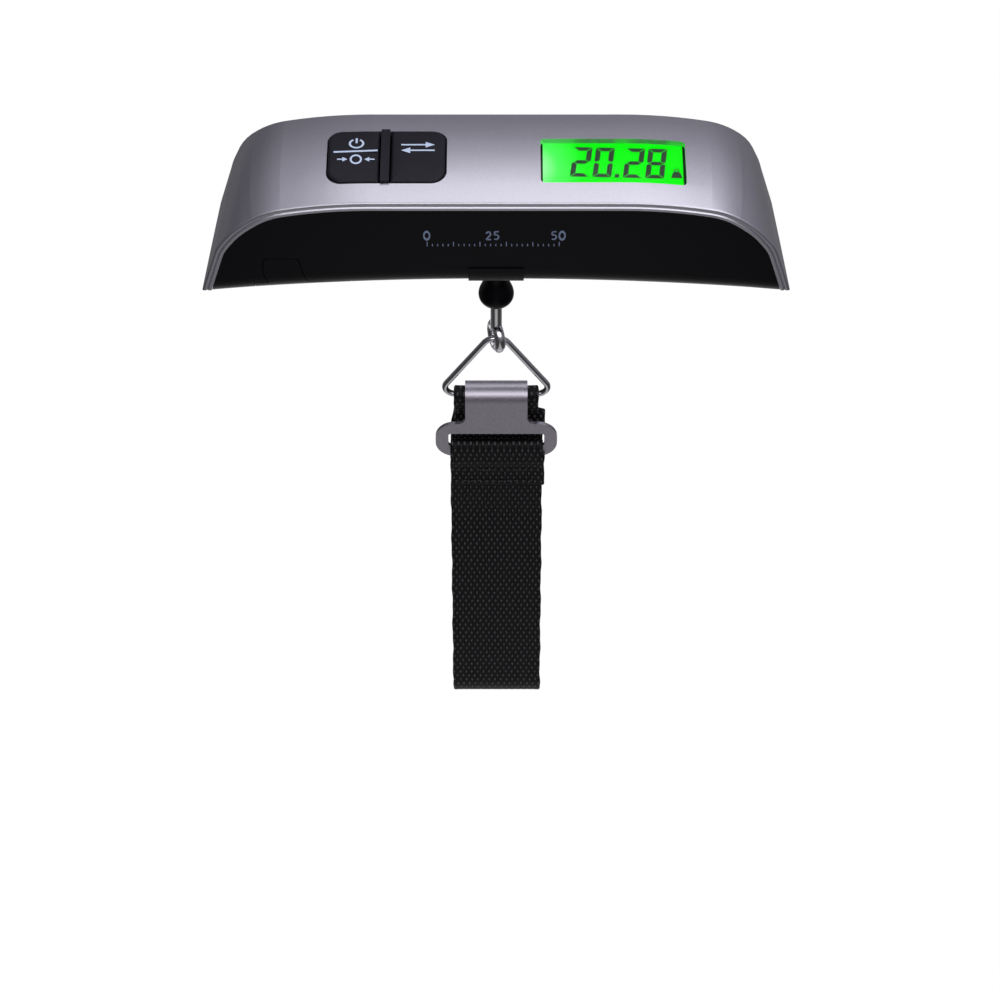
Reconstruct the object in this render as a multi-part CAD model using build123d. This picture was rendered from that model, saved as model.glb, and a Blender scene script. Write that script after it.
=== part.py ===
from build123d import *
import os
from math import atan2, cos, degrees, radians, sin, sqrt, tan

# Digital luggage scale: a bow shaped grip, a swivelling hook, a triangular ring,
# a hook-over buckle and a webbing loop.  Millimetres, +Z up, the front faces -Y.
# The origin is on the load axis at the underside of the grip.

os.makedirs("parts", exist_ok=True)

SEAT = 0.05            # gap between pieces that rest against each other
FIT = 0.06             # radial clearance of a turning fit
GAP = 0.35             # clearance round a moving key

# ---------------------------------------------------------------- grip outline
FLAT_HALF = 33.0       # half length of the flat middle of the bow
BOW_ARCS = ((120.0, 11.0), (20.0, 34.0), (48.0, 50.0), (9.0, 78.0))
LIP_Z = 30.0           # lip line of the top cover over the middle
TIP_Z = 0.0            # lower ends of the top cover
CROWN = 2.0            # rise of the top cover over its depth
COVER_HALF = 18.5      # half depth of the top cover
COVER_WALL = 1.8
LIP_DEEP = 2.4
LIP_WALL = 0.95
GROOVE_AT = 1.35
GROOVE = 0.3
CASE_HALF = COVER_HALF - LIP_WALL - SEAT
CASE_INSET = 1.7       # case edge below the lip line
CASE_WALL = 2.0
FLOOR = 2.2
ARCH_RADIUS = 740.0    # long arch of the underside
BOTTOM_ROUND = 6.0
CROWN_RADIUS = (COVER_HALF ** 2 + CROWN ** 2) / (2 * CROWN)
CROWN_AXIS_Z = LIP_Z + CROWN - CROWN_RADIUS

# ---------------------------------------------------------------- openings on top
KEYS_X = -28.5
KEYS_Y = -1.5
KEYS_LONG = 31.4
KEYS_WIDE = 20.7
KEYS_ROUND = 4.2
RIB_X = -28.9
RIB_WIDE = 2.3
KEY_PROUD = 0.5
KEY_TRAVEL = 0.8
VIEW_X = 30.55
VIEW_Y = -3.0
VIEW_LONG = 37.9
VIEW_WIDE = 17.0
VIEW_ROUND = 1.2
LENS_SUNK = 0.25
LENS_THICK = 1.2

# ---------------------------------------------------------------- circuit board
BOARD_TOP = 25.0
BOARD_THICK = 1.2
BOARD_X0 = -52.0
BOARD_X1 = 56.0
BOARD_HALF = 13.4
BOARD_SCREWS = ((-48.6, -10.6), (-48.6, 10.6), (-4.0, -10.6), (-4.0, 10.6), (53.6, -9.6), (53.6, 9.6))
BOARD_SCREW_R = 1.0
MAT_THICK = 1.0
KEY_FOOT = BOARD_TOP + MAT_THICK + 1.0
PILL_R = 2.5
PILL_THICK = 0.8
GLASS_THICK = 1.1
GLASS_TOP = 28.8       # top of the display glass at the middle of its window
GLASS_FALL = -0.0298   # slope of the glass along the grip
GLASS_RISE = 0.035     # slope of the glass towards the rear

# ---------------------------------------------------------------- load path
ROD_R = 1.6
PLATE_Z = 3.4          # underside of the chassis plate
PLATE_THICK = 1.2
PLATE_X0 = -13.0
PLATE_X1 = 55.0
PLATE_HALF = 11.0
POSTS = ((-9.5, -8.0), (-9.5, 8.0), (51.5, -8.0), (51.5, 8.0))
POST_R = 3.0
SPACER = 1.5
BEAM_X0 = -7.0
BEAM_X1 = 48.0
BEAM_HALF = 6.0
BEAM_TALL = 8.0
BEAM_Z = PLATE_Z + PLATE_THICK + SPACER
BEAM_TOP = BEAM_Z + BEAM_TALL
FLEX_X = (15.0, 23.0)
FLEX_R = 3.0
BEAM_SCREW_X = (36.0, 44.0)
BEAM_SCREW_R = 2.0
WASHER_THICK = 0.8
WASHER_R = 3.5
NUT_ACROSS = 5.5
NUT_TALL = 2.6

# ---------------------------------------------------------------- neck and hook
NECK = ((5.6, 0.6), (4.1, -1.2), (3.5, -4.5), (3.2, -9.0), (3.25, -12.4), (4.2, -15.0), (4.8, -17.0),
        (4.7, -18.6), (3.9, -20.0), (2.9, -20.6))
NECK_BORE = 2.3
BUSH_LONG = 9.0
NECK_END = -20.6
EYE_Z = -33.3
EYE_WIRE = 1.5
EYE_RADIUS = 3.45
EYE_TURN = 18.0

# ---------------------------------------------------------------- ring, buckle, strap
RING_WIRE = 0.9
RING_TOP = EYE_Z - EYE_RADIUS + EYE_WIRE + RING_WIRE + SEAT
BAR_Z = -55.3
BAR_HALF = 16.6        # half width to the sharp corner of the ring centre line
RING_CORNER = 2.6
RING_APEX = 4.0
WEB_WIDE = 26.0
WEB_THICK = 1.5
WRAP_WIDE = 22.6
WRAP_IN = RING_WIRE + SEAT
WRAP_OUT = WRAP_IN + WEB_THICK
PLATE_GAUGE = 1.1
ROLL_IN = 2.9
ROLL_OUT = ROLL_IN + PLATE_GAUGE
ROLL_Z = BAR_Z - (ROLL_IN - WRAP_OUT - SEAT)
TONGUE_WIDE = 17.4
YOKE_TOP = -63.4
YOKE_END = -75.9
YOKE_WIDE = 34.2
YOKE_ROUND = 5.4
SLOT_WIDE = 27.0
SLOT_TOP = -67.2
SLOT_END = -71.9
YOKE_Y = -ROLL_OUT + PLATE_GAUGE / 2
SEWN_END = -86.6
LOOP_TOP = SEWN_END - 0.3
LOOP_END_Z = -167.2
LOOP_END_Y = 1.6
LOOP_RADIUS = 9.0

# ---------------------------------------------------------------- battery bay
CELL_X = -51.0
CELL_R = 10.0
CELL_THICK = 3.2
CELL_Z = 1.6
BAY_X0 = -63.8
BAY_X1 = -38.2
BAY_REAR = 12.0
BAY_TOP = 1.5
TAB_X0 = -61.2
TAB_X1 = -50.5
TAB_TOP = 10.0
DOOR_GAP = 0.2
DOOR_SKIN = 1.8
BARREL_R = 1.0
PIN_R = 0.6
PIN_LONG = 1.4
CASE_SCREWS = ((-69.5, -8.0), (-69.5, 8.0), (69.5, -8.0), (69.5, 8.0))
CASE_SCREW_R = 1.3
CASE_BOSS_TOP = 3.2


def arch_z(x):
    """Height of the arched underside at a distance along the grip."""
    return sqrt(ARCH_RADIUS ** 2 - x ** 2) - ARCH_RADIUS


def bow_edges(offset, foot_z):
    """Right half and mirrored left half of the bow, left foot to right foot."""
    x, z, angle = FLAT_HALF, LIP_Z, 0.0
    runs = [((0.0, LIP_Z + offset), None, (FLAT_HALF, LIP_Z + offset))]
    for radius, end_deg in BOW_ARCS:
        end = radians(end_deg)
        cx = x - radius * sin(angle)
        cz = z - radius * cos(angle)
        marks = [(cx + (radius + offset) * sin(t), cz + (radius + offset) * cos(t))
                 for t in (angle, (angle + end) / 2, end)]
        runs.append(tuple(marks))
        x, z, angle = cx + radius * sin(end), cz + radius * cos(end), end
    last = runs[-1][2]
    foot = (last[0] + (last[1] - foot_z) / tan(angle), foot_z)
    runs.append((last, None, foot))
    edges = []
    for side in (-1, 1):
        for start, middle, end in (reversed(runs) if side < 0 else runs):
            points = [start, middle, end] if side > 0 else [end, middle, start]
            points = [(side * p[0], 0, p[1]) for p in points if p]
            edges.append(Line(*points) if len(points) == 2 else ThreePointArc(*points))
    return edges


def bow_prism(offset, half_depth, floor):
    """Solid under the bow: inside the offset outline and above the raised arch."""
    foot_z = -6.0 + floor
    edges = bow_edges(offset, foot_z)
    left = edges[0] @ 0
    right = edges[-1] @ 1
    edges.append(Line(right, left))
    block = extrude(make_face(edges), amount=half_depth, dir=(0, 1, 0), both=True)
    drum = Cylinder(ARCH_RADIUS, 120, rotation=(90, 0, 0))
    return block - Pos(0, 0, floor - ARCH_RADIUS) * drum


def bow_sweep(corners, rounds):
    """Carry a (depth, outward) section along the bow and trim it at the tips."""
    path = Wire([e.edge() for e in bow_edges(0.0, TIP_Z - 1.5)])
    start = path @ 0
    along = path % 0
    plane = Plane(origin=start, x_dir=(0, 1, 0), z_dir=along)
    outline = []
    for here, there in zip(corners, corners[1:] + corners[:1]):
        if here[2] == "arc":
            middle = (0, here[3])
            outline.append(ThreePointArc(here[:2], middle, there[:2]))
        else:
            outline.append(Line(here[:2], there[:2]))
    face = make_face(outline)
    for (u, w), radius in rounds:
        spot = face.vertices().sort_by_distance((u, w, 0))[0]
        face = fillet(spot, radius)
    swept = sweep(plane * face, path=path)
    return swept - Pos(0, 0, TIP_Z - 10) * Box(200, 60, 20)


def rounded_block(x, y, long, wide, radius, z0, z1):
    """Upright block with rounded vertical edges."""
    sketch = RectangleRounded(long, wide, radius)
    return Pos(x, y, z0) * extrude(sketch, amount=z1 - z0)


def box_between(x0, x1, y0, y1, z0, z1):
    return Pos((x0 + x1) / 2, (y0 + y1) / 2, (z0 + z1) / 2) * Box(x1 - x0, y1 - y0, z1 - z0)


def upright(x, y, radius, z0, z1):
    return Pos(x, y, (z0 + z1) / 2) * Cylinder(radius, z1 - z0)


def keys_block(shrink, z0, z1):
    return rounded_block(KEYS_X, KEYS_Y, KEYS_LONG - 2 * shrink, KEYS_WIDE - 2 * shrink,
                         KEYS_ROUND - shrink, z0, z1)


def view_block(shrink, z0, z1):
    return rounded_block(VIEW_X, VIEW_Y, VIEW_LONG - 2 * shrink, VIEW_WIDE - 2 * shrink,
                         VIEW_ROUND - shrink, z0, z1)


def under_crown(shape, rise):
    """Trim a shape to the crowned surface raised by a small amount."""
    drum = Cylinder(CROWN_RADIUS + rise, 220, rotation=(0, 90, 0))
    return shape & Pos(0, 0, CROWN_AXIS_Z) * drum


def top_cover():
    h = COVER_HALF
    inner = h - LIP_WALL
    inner_w = CROWN * (1 - (inner / h) ** 2) - COVER_WALL
    corners = [(-h, -LIP_DEEP, "line"), (-h, -GROOVE_AT - GROOVE, "line"),
               (-h + GROOVE, -GROOVE_AT, "line"), (-h, -GROOVE_AT + GROOVE, "line"),
               (-h, 0.0, "arc", CROWN), (h, 0.0, "line"), (h, -LIP_DEEP, "line"),
               (inner, -LIP_DEEP, "line"), (inner, inner_w, "arc", CROWN - COVER_WALL),
               (-inner, inner_w, "line"), (-inner, -LIP_DEEP, "line")]
    rounds = [((-h, 0.0), 0.7), ((h, 0.0), 1.6)]
    cover = bow_sweep(corners, rounds)
    cover -= keys_block(0, 24, 40)
    cover -= view_block(0, 24, 40)
    for x, y in BOARD_SCREWS:
        cover += upright(x, y, 2.3, BOARD_TOP + SEAT, 40) & cover_core()
    for x, y in CASE_SCREWS:
        cover += upright(x, y, 3.0, CASE_BOSS_TOP + SEAT, 40) & cover_core()
    for x, y in BOARD_SCREWS:
        cover -= upright(x, y, BOARD_SCREW_R + 0.02, BOARD_TOP - 1, BOARD_TOP + 2.6)
    for x, y in CASE_SCREWS:
        cover -= upright(x, y, CASE_SCREW_R + 0.02, CASE_BOSS_TOP - 1, CASE_BOSS_TOP + 8)
    return cover


def cover_core():
    """Space up to the middle of the cover wall, used to trim its bosses."""
    return bow_prism(0.3, COVER_HALF - 2, 0)


def display_window():
    half = 16.0
    rise = CROWN * (1 - (half / COVER_HALF) ** 2)
    top = rise - LENS_SUNK
    low = top - LENS_THICK
    corners = [(-half, low, "line"), (-half, top, "arc", CROWN - LENS_SUNK), (half, top, "line"),
               (half, low, "arc", CROWN - LENS_SUNK - LENS_THICK)]
    band = bow_sweep(corners, [])
    return band & view_block(0.08, 24, 40)


def lower_case():
    case = bow_prism(-CASE_INSET, CASE_HALF, 0)
    low = [e for e in case.edges() if e.bounding_box().max.Z < 1.0 and e.length > 100]
    case = fillet(low, BOTTOM_ROUND)
    case -= bow_prism(-CASE_INSET - CASE_WALL, CASE_HALF - CASE_WALL, FLOOR)
    case -= box_between(-62, 62, -CASE_HALF + CASE_WALL, CASE_HALF - CASE_WALL, 12, 40)
    case += fillet_saddle()
    case += neck_body()
    for x, y in POSTS:
        case += upright(x, y, POST_R, arch_z(x) + 1, PLATE_Z - SEAT)
    for x, y in CASE_SCREWS:
        case -= upright(x, y, 3.1, CASE_BOSS_TOP, 40)
        case += upright(x, y, 4.0, arch_z(x) + 1, CASE_BOSS_TOP)
        case -= upright(x, y, CASE_SCREW_R + 0.15, -8, CASE_BOSS_TOP + 1)
        case -= upright(x, y, 2.7, -8, 0.2)
    case -= upright(0, 0, NECK_BORE, -30, 4)
    for x, y in POSTS:
        case -= upright(x, y, 1.22, PLATE_Z - 3.2, PLATE_Z + 1)
    case -= battery_bay()
    return case


def fillet_saddle():
    """Raised pad that carries the neck under the middle of the grip."""
    pad = box_between(-7.3, 7.3, -CASE_HALF - 0.4, CASE_HALF + 0.4, -0.45, 7.0)
    pad = fillet(pad.edges().filter_by(Axis.X).group_by(Axis.Z)[0], BOTTOM_ROUND)
    core = box_between(-8, 8, -CASE_HALF + 1, CASE_HALF - 1, FLOOR - 1, 8)
    return pad - core


def neck_body():
    side = Spline([(r, 0, z) for r, z in NECK[:-1]] + [(NECK[-1][0], 0, NECK[-1][1])])
    axis_low = (0, 0, NECK[-1][1])
    axis_top = (0, 0, NECK[0][1])
    rim = [side, Line(side @ 1, axis_low), Line(axis_low, axis_top), Line(axis_top, side @ 0)]
    return revolve(make_face(rim), Axis.Z)


def door_axis():
    """Start, end and unit direction of the battery door hinge line."""
    z0 = arch_z(BAY_X0) + BARREL_R
    z1 = arch_z(BAY_X1) + BARREL_R
    start = Vector(BAY_X0, BAY_REAR, z0)
    end = Vector(BAY_X1, BAY_REAR, z1)
    return start, end, (end - start).normalized()


def hinge_rod(radius, short):
    start, end, along = door_axis()
    length = (end - start).length - 2 * short
    plane = Plane(origin=start + along * short, z_dir=along)
    return plane * Pos(0, 0, length / 2) * Cylinder(radius, length)


def tab_face(grow):
    """Outline of the door tab that climbs the front face."""
    points = [(TAB_X0 + 1.2 - grow, -8), (TAB_X0 + 1.2 - grow, 1.5), (TAB_X0 - grow, 5.0),
              (TAB_X0 - grow, TAB_TOP + grow), (TAB_X1 - 1.4 + grow, TAB_TOP + grow),
              (TAB_X1 - 0.5 + grow, 5.0), (TAB_X1 + 1.2 + grow, 0.8), (TAB_X1 + 1.2 + grow, -8)]
    rim = Polyline(*[(x, 0, z) for x, z in points], close=True)
    face = make_face(rim)
    tops = face.vertices().group_by(Axis.Z)[-1]
    return fillet(tops, 1.6)


def battery_bay():
    """Opening in the floor and front wall that the battery door fills."""
    depth = CASE_HALF + 5
    bay = box_between(BAY_X0, BAY_X1, -depth, BAY_REAR, -9, BAY_TOP)
    front = extrude(tab_face(DOOR_GAP), amount=-9.0, dir=(0, 1, 0))
    front = Pos(0, -CASE_HALF + 3.0, 0) * front
    start, end, along = door_axis()
    bore = hinge_rod(PIN_R + 0.05, -PIN_LONG - 0.2)
    return bay + front + hinge_rod(BARREL_R + DOOR_GAP, 0) + bore


def battery_door():
    shell = bow_prism(-CASE_INSET, CASE_HALF, 0)
    low = [e for e in shell.edges() if e.bounding_box().max.Z < 1.0 and e.length > 100]
    shell = fillet(low, BOTTOM_ROUND)
    inner = bow_prism(-CASE_INSET - DOOR_SKIN, CASE_HALF - DOOR_SKIN, DOOR_SKIN)
    inner_low = [e for e in inner.edges() if e.bounding_box().max.Z < 2.5 and e.length > 100]
    inner = fillet(inner_low, BOTTOM_ROUND - DOOR_SKIN)
    skin = shell - inner
    x0 = BAY_X0 + DOOR_GAP
    x1 = BAY_X1 - DOOR_GAP
    base = box_between(x0, x1, -CASE_HALF - 1, BAY_REAR - 0.7, -9, BAY_TOP - DOOR_GAP)
    front = Pos(0, -CASE_HALF + 3.0, 0) * extrude(tab_face(0), amount=-9.0, dir=(0, 1, 0))
    door = skin & (base + front)
    door += hinge_rod(BARREL_R, DOOR_GAP)
    door += hinge_rod(PIN_R, -PIN_LONG)
    return door


def battery_tray():
    tray = rounded_block(CELL_X, 0, 24.6, 23.0, 3.0, CELL_Z + 0.6, CELL_Z + CELL_THICK + 2.6)
    tray -= upright(CELL_X, 0, CELL_R + 0.2, CELL_Z - 1, CELL_Z + CELL_THICK + 1.0)
    tray -= box_between(CELL_X - 3, CELL_X + 3, -3, 3, CELL_Z, CELL_Z + 20)
    tray -= box_between(CELL_X + CELL_R - 2, CELL_X + CELL_R + 1.2, -3.2, 3.2, CELL_Z, CELL_Z + 20)
    for y in (-1, 1):
        foot = box_between(CELL_X - 4, CELL_X + 4, y * 13.4 - 2.0, y * 13.4 + 2.0,
                           CELL_Z + CELL_THICK + 0.6, CELL_Z + CELL_THICK + 2.6)
        tray += foot
    return tray


def coin_cell():
    body = upright(CELL_X, 0, CELL_R, CELL_Z + 0.5, CELL_Z + CELL_THICK)
    body = fillet(body.edges().group_by(Axis.Z)[-1], 0.4)
    face = upright(CELL_X, 0, CELL_R - 1.4, CELL_Z, CELL_Z + 0.6)
    return body + face


def contact_negative():
    top = CELL_Z + CELL_THICK
    leaf = box_between(CELL_X - 2.5, CELL_X + 2.5, -2.5, 2.5, top + SEAT, top + 0.35)
    stem = box_between(CELL_X - 0.2, CELL_X + 0.1, -2.5, 2.5, top + SEAT, top + 4.4)
    return leaf + stem


def contact_positive():
    side = CELL_X + CELL_R + 0.4
    low = CELL_Z + 0.8
    blade = box_between(side, side + 0.3, -3.0, 3.0, low, CELL_Z + CELL_THICK + 4.4)
    nub = Pos(side, 0, CELL_Z + 1.8) * Sphere(0.32)
    return blade + (nub & box_between(side - 0.3, side + 0.2, -1, 1, low, low + 3))


def chassis_plate():
    plate = rounded_block((PLATE_X0 + PLATE_X1) / 2, 0, PLATE_X1 - PLATE_X0, 2 * PLATE_HALF, 3.0,
                          PLATE_Z, PLATE_Z + PLATE_THICK)
    plate -= upright(0, 0, 3.4, PLATE_Z - 1, PLATE_Z + 3)
    for x, y in POSTS:
        plate -= upright(x, y, 1.5, PLATE_Z - 1, PLATE_Z + 3)
    for x in BEAM_SCREW_X:
        plate -= upright(x, 0, BEAM_SCREW_R + 0.02, PLATE_Z - 1, PLATE_Z + 3)
    return plate


def pan_screw(x, y, radius, head_r, head_tall, seat_z, tip_z):
    """Pan head screw with a cross recess; the head lies on the far side of the tip."""
    up = 1 if seat_z > tip_z else -1
    shank = upright(x, y, radius, min(seat_z, tip_z), max(seat_z, tip_z))
    z0, z1 = sorted((seat_z, seat_z + up * head_tall))
    head = upright(x, y, head_r, z0, z1)
    rim = head.edges().group_by(Axis.Z)[-1 if up > 0 else 0]
    head = fillet(rim, head_tall * 0.4)
    top = seat_z + up * head_tall
    c0, c1 = sorted((top + up, top - up * head_tall * 0.55))
    cross = box_between(x - head_r * 0.55, x + head_r * 0.55, y - 0.25, y + 0.25, c0, c1)
    cross += box_between(x - 0.25, x + 0.25, y - head_r * 0.55, y + head_r * 0.55, c0, c1)
    return shank + head - cross


def group(shapes):
    return Compound(children=[s for shape in shapes for s in shape.solids()])


def chassis_screws():
    seat = PLATE_Z + PLATE_THICK
    return group([pan_screw(x, y, 1.2, 2.4, 1.5, seat, PLATE_Z - 2.8) for x, y in POSTS])


def load_cell():
    beam = box_between(BEAM_X0, BEAM_X1, -BEAM_HALF, BEAM_HALF, BEAM_Z, BEAM_TOP)
    beam = chamfer(beam.edges().filter_by(Axis.Y), 0.4)
    mid_z = (BEAM_Z + BEAM_TOP) / 2
    for x in FLEX_X:
        beam -= Pos(x, 0, mid_z) * Cylinder(FLEX_R, 20, rotation=(90, 0, 0))
    beam -= box_between(FLEX_X[0], FLEX_X[1], -10, 10, mid_z - 1.2, mid_z + 1.2)
    beam -= upright(0, 0, ROD_R + FIT, 0, 30)
    for x in BEAM_SCREW_X:
        beam -= upright(x, 0, BEAM_SCREW_R + 0.1, 0, 30)
    return beam


def beam_spacer():
    spacer = box_between(31.0, BEAM_X1, -BEAM_HALF, BEAM_HALF, PLATE_Z + PLATE_THICK, BEAM_Z)
    for x in BEAM_SCREW_X:
        spacer -= upright(x, 0, BEAM_SCREW_R + 0.1, 0, 30)
    return spacer


def load_cell_screws():
    return group([pan_screw(x, 0, BEAM_SCREW_R, 3.5, 2.4, BEAM_TOP, PLATE_Z) for x in BEAM_SCREW_X])


def strain_gauges():
    return group([box_between(x - 2.2, x + 2.2, -2.0, 2.0, BEAM_TOP, BEAM_TOP + 0.15) for x in FLEX_X])


def gauge_coating():
    blob = rounded_block(19.0, 0, 17.0, 9.6, 3.0, BEAM_TOP, BEAM_TOP + 1.3)
    blob = fillet(blob.edges().group_by(Axis.Z)[-1], 0.8)
    return blob - strain_gauges()


def gauge_wires():
    solids = []
    for y in (-2.7, -0.9, 0.9, 2.7):
        z0 = BEAM_TOP + 0.6
        path = FilletPolyline((27.6, y, z0), (31.0, y, z0), (31.0, y, BOARD_TOP - BOARD_THICK - SEAT), radius=2.0)
        section = Plane(origin=path @ 0, z_dir=path % 0) * Circle(0.4)
        solids.append(sweep(section, path=path))
    return group(solids)


def battery_wire(side):
    y = 1.2 * side
    x = CELL_X if side < 0 else CELL_X + CELL_R + 0.55
    tip = CELL_Z + CELL_THICK + 4.4
    shift = 2.5 if side < 0 else -2.0
    start = (x, y, tip + SEAT)
    knee = (x, y, tip + 5.0)
    turn = (x + shift, y, tip + 8.5)
    end = (x + shift, y, BOARD_TOP - BOARD_THICK - SEAT)
    path = FilletPolyline(start, knee, turn, end, radius=1.6)
    section = Plane(origin=path @ 0, z_dir=path % 0) * Circle(0.5)
    return sweep(section, path=path)


def hook_washer():
    washer = upright(0, 0, WASHER_R, BEAM_TOP, BEAM_TOP + WASHER_THICK)
    return washer - upright(0, 0, ROD_R + FIT, 0, 30)


def hook_nut():
    z0 = BEAM_TOP + WASHER_THICK + SEAT
    prism = Pos(0, 0, z0) * extrude(RegularPolygon(NUT_ACROSS / 2, 6, major_radius=False), amount=NUT_TALL)
    dome = Pos(0, 0, z0 + NUT_TALL / 2) * Sphere(3.25)
    return (prism & dome) - upright(0, 0, ROD_R, 0, 30)


def hook_rod():
    top = BEAM_TOP + WASHER_THICK + NUT_TALL + 1.2
    rod = upright(0, 0, ROD_R, EYE_Z + EYE_RADIUS, top)
    rod = chamfer(rod.edges().group_by(Axis.Z)[-1], 0.4)
    eye = Pos(0, 0, EYE_Z) * Rot(0, 0, EYE_TURN) * Torus(EYE_RADIUS, EYE_WIRE, rotation=(0, 90, 0))
    return rod + eye


def neck_bush():
    tube = upright(0, 0, NECK_BORE, NECK_END + 0.3, NECK_END + BUSH_LONG)
    return tube - upright(0, 0, ROD_R + FIT, -40, 10)


def triangle_ring():
    z_sharp = RING_TOP + RING_APEX / sin(radians(ring_lean())) - RING_APEX
    right = FilletPolyline((0, 0, BAR_Z), (BAR_HALF, 0, BAR_Z), leg_point(0.5), radius=RING_CORNER)
    top = FilletPolyline(leg_point(0.5), (0, 0, z_sharp), leg_point(-0.5), radius=RING_APEX)
    left = FilletPolyline(leg_point(-0.5), (-BAR_HALF, 0, BAR_Z), (0, 0, BAR_Z), radius=RING_CORNER)
    solid = None
    for path in (right, top, left):
        section = Plane(origin=path @ 0, z_dir=path % 0) * Circle(RING_WIRE)
        piece = sweep(section, path=path)
        solid = piece if solid is None else solid + piece
    return solid


def ring_lean():
    """Angle between a leg of the ring and the vertical, in degrees."""
    low, high = 20.0, 50.0
    for _ in range(40):
        lean = (low + high) / 2
        z_sharp = RING_TOP + RING_APEX / sin(radians(lean)) - RING_APEX
        true = degrees(atan2(BAR_HALF, z_sharp - BAR_Z))
        low, high = (lean, high) if true > lean else (low, lean)
    return lean


def leg_point(side):
    """Point half way down a leg of the ring; the sign of side picks the leg."""
    z_sharp = RING_TOP + RING_APEX / sin(radians(ring_lean())) - RING_APEX
    return (side * BAR_HALF, 0, (z_sharp + BAR_Z) / 2)


def buckle_plate():
    tongue = box_between(-TONGUE_WIDE / 2, TONGUE_WIDE / 2, -ROLL_OUT, -ROLL_IN, YOKE_TOP - 2, ROLL_Z)
    yoke = rounded_block(0, 0, YOKE_WIDE, YOKE_TOP - YOKE_END, YOKE_ROUND, 0, PLATE_GAUGE)
    yoke = Pos(0, -ROLL_IN, (YOKE_TOP + YOKE_END) / 2) * Rot(90, 0, 0) * yoke
    plate = tongue + yoke
    corner = [e for e in plate.edges().filter_by(Axis.Y)
              if abs(abs(e.center().X) - TONGUE_WIDE / 2) < 0.01 and e.center().Z > YOKE_TOP - 0.5]
    corner = [e for e in corner if e.center().Z < YOKE_TOP + 0.5]
    plate = fillet(corner, 2.2)
    slot = rounded_block(0, 0, SLOT_WIDE, SLOT_TOP - SLOT_END, 0.8, -5, 5)
    plate -= Pos(0, YOKE_Y, (SLOT_TOP + SLOT_END) / 2) * Rot(90, 0, 0) * slot
    ring = Cylinder(ROLL_OUT, TONGUE_WIDE, rotation=(0, 90, 0)) - Cylinder(ROLL_IN, 40, rotation=(0, 90, 0))
    upper = ring & box_between(-20, 20, -9, 9, 0, 9)
    back = ring & box_between(-20, 20, 0, 9, -1.2, 0)
    return plate + Pos(0, 0, ROLL_Z) * (upper + back)


def strip(path, width):
    """Webbing of even thickness carried along a path in the YZ plane."""
    start = path @ 0
    section = Plane(origin=start, x_dir=(1, 0, 0), z_dir=path % 0) * Rectangle(width, WEB_THICK)
    return sweep(section, path=path)


def strap_front_end():
    """Sewn end of the strap folded through the buckle slot."""
    front = YOKE_Y - PLATE_GAUGE / 2 - SEAT - WEB_THICK / 2
    back = YOKE_Y + PLATE_GAUGE / 2 + SEAT + WEB_THICK / 2
    middle = (front + back) / 2
    half = (back - front) / 2
    top = SLOT_END + SEAT + WEB_THICK / 2 + 0.1
    low = YOKE_END - 0.9
    seam = WEB_THICK / 2 + 0.005
    fold = FilletPolyline((0, middle - seam, SEWN_END), (0, middle - seam, low - 3.0), (0, front, low),
                          (0, front, top), (0, back, top), (0, back, low), (0, middle + seam, low - 3.0),
                          (0, middle + seam, SEWN_END), radius=half - 0.1)
    return strip(fold, WEB_WIDE)


def strap_loop():
    """Main run of webbing: wrapped round the ring bar, down, round and up."""
    wrap = Cylinder(WRAP_OUT, WRAP_WIDE, rotation=(0, 90, 0)) - Cylinder(WRAP_IN, 40, rotation=(0, 90, 0))
    wrap = Pos(0, 0, BAR_Z) * wrap
    back_y = WRAP_OUT - WEB_THICK / 2
    front_y = YOKE_Y + WEB_THICK / 2 + 0.005
    low = LOOP_END_Z - LOOP_RADIUS
    run = FilletPolyline((0, back_y, BAR_Z - 0.5), (0, back_y, BAR_Z - 24),
                         (0, LOOP_END_Y + LOOP_RADIUS, LOOP_END_Z), (0, LOOP_END_Y + LOOP_RADIUS, low),
                         (0, LOOP_END_Y - LOOP_RADIUS, low), (0, LOOP_END_Y - LOOP_RADIUS, LOOP_END_Z),
                         (0, front_y, LOOP_TOP - 12), (0, front_y, LOOP_TOP), radius=LOOP_RADIUS - 0.5)
    return wrap + strip(run, WEB_WIDE)


def circuit_board():
    board = box_between(BOARD_X0, BOARD_X1, -BOARD_HALF, BOARD_HALF, BOARD_TOP - BOARD_THICK, BOARD_TOP)
    board = fillet(board.edges().filter_by(Axis.Z), 2.0)
    for x, y in BOARD_SCREWS:
        board -= upright(x, y, BOARD_SCREW_R + 0.15, 10, 40)
    return board


def board_screws():
    seat = BOARD_TOP - BOARD_THICK
    return group([pan_screw(x, y, BOARD_SCREW_R, 1.9, 1.2, seat, BOARD_TOP + 2.2) for x, y in BOARD_SCREWS])


def case_screws():
    return group([pan_screw(x, y, CASE_SCREW_R, 2.5, 1.6, 0.2, CASE_BOSS_TOP + 7) for x, y in CASE_SCREWS])


def key_block(x0, x1):
    block = keys_block(GAP, KEY_FOOT, 40)
    block = block & box_between(x0, x1, -20, 20, 0, 50)
    return under_crown(block, KEY_PROUD)


def power_key():
    return key_block(-60, RIB_X - RIB_WIDE / 2 - GAP)


def unit_key():
    return key_block(RIB_X + RIB_WIDE / 2 + GAP, 0)


def pill(x):
    return upright(x, KEYS_Y, PILL_R, KEY_FOOT - PILL_THICK, KEY_FOOT)


POWER_X = -36.8
UNIT_X = -20.6


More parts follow.
